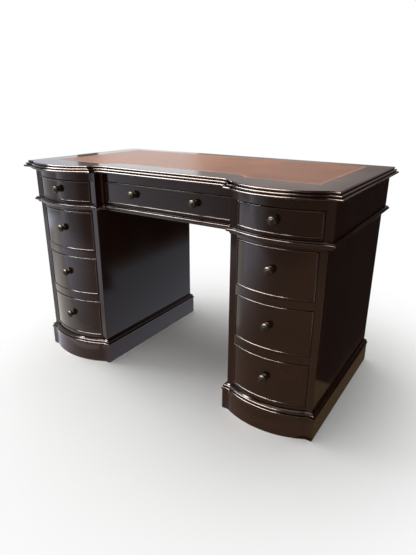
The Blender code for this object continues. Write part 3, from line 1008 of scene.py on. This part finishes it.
# %% Make and set the fronts
for node in ("drawer_right_bottom_front", "drawer_frieze_right_front", "drawer_frieze_centre_front"):
    low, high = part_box(node)
    board = make_front(low, high, 0.0 if "centre" in node else case_bow)
    if "bottom" in node:
        for row in ("middle", "top"):
            upper = node.replace("bottom", row)
            both_sides(copy_of(board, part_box(upper)[0] - low), upper)
    if "centre" in node:
        finish(board, node)
    else:
        both_sides(board, node)

# %% [markdown]
# ## Knobs
# Each knob is turned: a thin plate with a step, a short neck and a full round head with a fine groove
# round its crown. On a lathe the outline is cut while the work spins. Here the outline is a list of
# (radius, reach) points, drawn with one vertex and spun once round the knob's axis. The knob is made
# once and copied to the other nine places.

# %% Turn one knob
first_knob = "drawer_frieze_centre_knob_right"
knob_low, knob_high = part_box(first_knob)
knob_x, knob_z = (knob_low[0] + knob_high[0]) / 2.0, (knob_low[2] + knob_high[2]) / 2.0
knob_back = knob_high[1]
plate = [(0.0110, 0.0), (0.0110, 0.0012), (0.0104, 0.0018), (0.0088, 0.0018), (0.0078, 0.0030)]
neck = [(0.0066, 0.0032), (0.0054, 0.0044), (0.0048, 0.0060), (0.0054, 0.0074)]
head_radius = (knob_high[0] - knob_low[0]) / 2.0
head_middle, head_half = 0.0155, 0.0085
head_steps, groove_step, groove_depth = 20, 16, 0.0007
start_angle = math.asin(neck[0][0] / head_radius)
head = []
for step in range(head_steps + 1):
    angle = start_angle + (math.pi - start_angle) * step / head_steps
    sunk = groove_depth if step == groove_step else 0.0
    head.append((head_radius * math.sin(angle), head_middle - head_half * math.cos(angle) - sunk))
knob_line = [(0.0, 0.0)] + plate + neck + head
start_outline(knob_x, knob_back, knob_z)
walk(*[(end[0] - start[0], start[1] - end[1]) for start, end in zip(knob_line, knob_line[1:])])
pick_all()
bpy.ops.mesh.spin(steps=40, angle=2.0 * math.pi, center=(knob_x, knob_back, knob_z), axis=(0.0, 1.0, 0.0))
bpy.ops.object.mode_set(mode="OBJECT")
knob = bpy.context.object
seal(knob, "knob")
smooth(knob, 38.0)

# %% Set the knobs
knob_nodes = sorted(node for node in rides_on if "_knob" in node)
for node in knob_nodes:
    if node != first_knob:
        stand_for(copy_of(knob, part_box(node)[0] - knob_low), node)
stand_for(knob, first_knob)
print("knobs", len(knob_nodes))

# %% [markdown]
# ## Flat boards and drawer boxes
# The pedestal sides and the drawer boxes have the right shape already. What a maker still does is to
# take off their sharp edges: the front corners of the sides are rubbed round, and the upper edges of
# a drawer's sides are planed to a half-round, which is kind to the hands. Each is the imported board's
# own mesh, copied, merged, freed of the lines inside its flat faces, and bevelled.

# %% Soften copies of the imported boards
corner_radius = 0.0016
box_edge_radius = 0.0042


def softened_copy(node, radius, segments, test):
    """A copy of a node's board with some of its edges rounded, which takes its place."""
    board = bpy.data.objects.new(node + "_fine", frame["nodes"][node].data.copy())
    bpy.context.scene.collection.objects.link(board)
    with editing(board):
        pick_all()
        bpy.ops.mesh.remove_doubles(threshold=merge_distance)
        bpy.ops.mesh.dissolve_limited(angle_limit=math.radians(1.0))
    round_edges(board, radius, segments, test)
    finish(board, node)


for node in sorted(rides_on):
    low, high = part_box(node)
    if node.endswith("_box"):
        softened_copy(node, box_edge_radius, 4, lambda edge: middle(edge).z > high[2] - hair)
    elif "_side" in node:
        shown_side = min if "_inner_side" in node else max
        corner = Vector((shown_side((low[0], high[0]), key=abs), low[1]))
        softened_copy(node, corner_radius, 3, lambda edge: (middle(edge).xy - corner).length < hair)

# %% [markdown]
# ## Polished mahogany
# Dark mahogany under a hard polish is nearly black, with a reddish figure that shows where the light
# falls on it. The figure and the fine grain are noise, stretched upright or across the desk. A frame
# or moulding runs round the desk, so its grain turns with the face. Noise also clouds the polish, as
# hands and cloths do.

# %% Grain, clouds and shades
def grain_vector(tree, grain, amount, shift):
    """Object coordinates squeezed along the grain, so that noise draws out into streaks."""
    if grain == "round":
        facing = add_node(tree, "TexCoord", "Normal", {})
        sideways = add_node(tree, "SeparateXYZ", "X", {"Vector": facing})
        is_side = compute(tree, "GREATER_THAN", compute(tree, "ABSOLUTE", sideways), 0.72)
        along_x, along_y = [grain_vector(tree, axis, amount, shift) for axis in "xy"]
        sockets = {"Factor": is_side, "A": along_x, "B": along_y}
        return add_node(tree, "Mix", "Result", sockets, data_type="VECTOR")
    scale = [amount if axis == grain else 1.0 for axis in "xyz"]
    place = add_node(tree, "TexCoord", "Object", {})
    return add_node(tree, "Mapping", "Vector", {"Vector": place, "Scale": scale, "Location": shift})


def noise(tree, vector, scale, detail, **more):
    """Noise at a place, as a factor."""
    return add_node(tree, "TexNoise", "Fac", {"Vector": vector, "Scale": scale, "Detail": detail, **more})


def shades(tree, coarse, fine, share, places, colours):
    """Three shades through a ramp, from coarse noise with a share of fine noise."""
    mixed = add_node(tree, "Mix", "Result", {"Factor": share, "A": coarse, "B": fine})
    return ramp(tree, mixed, list(zip(places, colours)))


def gloss(tree, factor, roughness):
    """Roughness that goes between two values with the noise."""
    return remap(tree, factor, 0.3, 0.7, *roughness)


def bump(tree, height, strength, distance):
    """A fine relief."""
    return add_node(tree, "Bump", "Normal", {"Height": height, "Strength": strength, "Distance": distance})


print("finish helpers ready")

# %% A polished board
def worn_edges(tree, colour, smears, pale):
    """Paler wood where edges stand out and hands rub."""
    shape = add_node(tree, "NewGeometry", "Pointiness", {})
    rub = compute(tree, "MULTIPLY", remap(tree, shape, 0.53, 0.62, 0.0, 0.5), smears)
    return add_node(tree, "Mix", "Result", {"Factor": rub, "A": colour, "B": pale}, data_type="RGBA")


def wood(name, grain, shift, colours, roughness, worn=False, pore=0.02):
    """Streaky wood under polish. Worn wood is paler on its outer edges."""
    made, tree = new_material(name)
    figure = noise(tree, grain_vector(tree, grain, 0.16, shift), 9.0, 4.0, Distortion=0.7)
    streaks = noise(tree, grain_vector(tree, grain, 0.045, shift), 95.0, 3.0, Roughness=0.6)
    pores = noise(tree, grain_vector(tree, grain, 0.06, shift), 650.0, 2.0)
    smears = noise(tree, grain_vector(tree, grain, 0.8, shift), 5.0, 3.0)
    colour = shades(tree, figure, streaks, 0.42, (0.34, 0.50, 0.66), colours)
    if worn:
        colour = worn_edges(tree, colour, smears, [min(3.0 * c, 1.0) for c in colours[2]])
    fill(tree, tree.nodes["Principled BSDF"], {
        "Base Color": colour,
        "Roughness": gloss(tree, smears, roughness),
        "Normal": bump(tree, pores, pore, 0.0004),
        "Specular IOR Level": 0.30,
        "Specular Tint": (1.0, 0.92, 0.87),
    })
    return made


dark_red = ((0.0112, 0.0040, 0.0027), (0.0150, 0.0051, 0.0034), (0.0205, 0.0068, 0.0043))
brown = ((0.10, 0.045, 0.022), (0.16, 0.078, 0.040), (0.23, 0.12, 0.065))
polish = (0.10, 0.17)
top_wood = wood("top_mahogany", "round", (0.3, 0.1, 0.0), dark_red, (0.08, 0.20), worn=True)
moulding_wood = wood("moulding_mahogany", "round", (1.7, 0.4, 0.2), dark_red, polish, worn=True)
rail_wood = wood("rail_mahogany", "x", (2.9, 0.8, 0.6), dark_red, polish)
upright_wood = wood("upright_mahogany", "z", (0.7, 3.1, 0.9), dark_red, polish)
inside_wood = wood("drawer_lining", "round", (0.2, 0.5, 1.1), brown, (0.45, 0.6), pore=0.25)
front_woods = [
    wood("front_mahogany_" + str(index + 1), "x", (1.3 * index, 0.7 * index, 0.45 * index), dark_red, polish)
    for index in range(3)
]
print("woods", len(front_woods) + 5)

# %% [markdown]
# ## Leather
# The hide is tan, a little darker in its pores and mottled where hands have rested. Its grain is a
# fine pebble, made with Voronoi cells and noise as bump. The tooled line has a colour of its own.

# %% The hide
def hide(name, colours, roughness):
    """Pebbled leather with soft clouds of colour."""
    made, tree = new_material(name)
    place = add_node(tree, "TexCoord", "Object", {})
    clouds = noise(tree, place, 4.5, 6.0, Roughness=0.6)
    creases = noise(tree, place, 210.0, 4.0)
    pebbles = add_node(tree, "TexVoronoi", "Distance", {"Vector": place, "Scale": 620.0}, feature="SMOOTH_F1")
    fill(tree, tree.nodes["Principled BSDF"], {
        "Base Color": shades(tree, clouds, creases, 0.42, (0.40, 0.50, 0.60), colours),
        "Roughness": gloss(tree, clouds, roughness),
        "Normal": bump(tree, compute(tree, "ADD", pebbles, creases), 0.10, 0.0005),
        "Specular IOR Level": 0.42,
    })
    return made


tan = ((0.190, 0.068, 0.034), (0.280, 0.110, 0.058), (0.375, 0.158, 0.088))
pressed_tan = ((0.46, 0.34, 0.28), (0.54, 0.42, 0.35), (0.62, 0.49, 0.42))
tan_hide = hide("tan_hide", tan, (0.31, 0.40))
tooling = hide("tooled_line", pressed_tan, (0.25, 0.35))
print("leather finishes", tan_hide.name, tooling.name)

# %% [markdown]
# ## Bronze
# The knobs are dark antique bronze. Polish stays in the hollows as a darker skin, and hands keep the
# crowns bright. Pointiness tells the crowns from the hollows. The plate and the neck have a second
# finish, darker and duller than the head.

# %% The knobs' finish
def metal(name, colours, roughness):
    """Cast metal with a dark skin in its hollows and rubbed crowns."""
    made, tree = new_material(name)
    spots = noise(tree, add_node(tree, "TexCoord", "Object", {}), 260.0, 5.0)
    shape = add_node(tree, "NewGeometry", "Pointiness", {})
    fill(tree, tree.nodes["Principled BSDF"], {
        "Base Color": shades(tree, remap(tree, shape, 0.46, 0.56), spots, 0.35, (0.25, 0.55, 0.85), colours),
        "Roughness": gloss(tree, spots, roughness),
        "Metallic": 1.0,
    })
    return made


rubbed = ((0.012, 0.011, 0.009), (0.032, 0.030, 0.025), (0.078, 0.074, 0.060))
# Darker, duller colours for the plate and the neck than for the head.
plate_neck_shades = ((0.005, 0.004, 0.003), (0.012, 0.011, 0.009), (0.026, 0.024, 0.020))
bronze = metal("antique_bronze", rubbed, (0.32, 0.44))
dull_bronze = metal("dull_bronze", plate_neck_shades, (0.48, 0.60))
print("bronze finishes", bronze.name, dull_bronze.name)

# %% [markdown]
# ## Give every piece its finish
# Sides, stiles and backs have upright grain, and the boards between them have it across the desk. The
# three drawer woods take turns, so that no front looks cut from the same place as the one above it.

# %% Dress the desk
rows = ("bottom", "middle", "top", "frieze")


def finish_for(node):
    """The finish of a node, by its place in the desk."""
    if finish_of[node] != "mahogany":
        return {"leather": tan_hide, "bronze": bronze, "drawer_wood": inside_wood}[finish_of[node]]
    if node.startswith("drawer"):
        row = [index for index, word in enumerate(rows) if word in node][0]
        return front_woods[(row + (1 if "left" in node else 0)) % len(front_woods)]
    if node == "top_board":
        return top_wood
    if node == "waist_board" or node.endswith("plinth"):
        return moulding_wood
    return upright_wood if any(word in node for word in ("side", "stile", "back")) else rail_wood


for node in rides_on:
    shown = bpy.data.objects.get(node + "_fine") or frame["nodes"][node]
    shown.data.materials.clear()
    shown.data.materials.append(finish_for(node))
print("dressed", len(rides_on), "nodes")

# %% The dull plates and necks, and the tooled line
neck_reach = neck[-1][1]
for node in knob_nodes:
    mesh = bpy.data.objects[node + "_fine"].data
    mesh.materials.append(dull_bronze)
    head_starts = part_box(node)[1][1] - neck_reach
    for face in mesh.polygons:
        face.material_index = 1 if face.center.y > head_starts else 0
leather.data.materials.append(tooling)
line_bottom = leather_high[2] - line_depth
for face in leather.data.polygons:
    lowest = min(leather.data.vertices[v].co.z for v in face.vertices)
    if face.normal.z > 0.5 and abs(lowest - line_bottom) < merge_distance:
        face.material_index = 1
print("tooled faces", sum(face.material_index for face in leather.data.polygons))

# %% [markdown]
# The window and ceiling cards are far brighter than the room, so that thin mouldings catch a clear
# line. Rough leather would smear them into a white haze. Light linking leaves the leather out of what
# these two cards reach: it is put in a collection as excluded, and the cards take that collection.

# %% Keep the bright cards off the leather
no_glare = bpy.data.collections.new("no_glare")
no_glare.objects.link(leather)
no_glare.collection_objects[0].light_linking.link_state = "EXCLUDE"
for name in ("window_card", "ceiling_card"):
    bpy.data.objects[name].light_linking.receiver_collection = no_glare
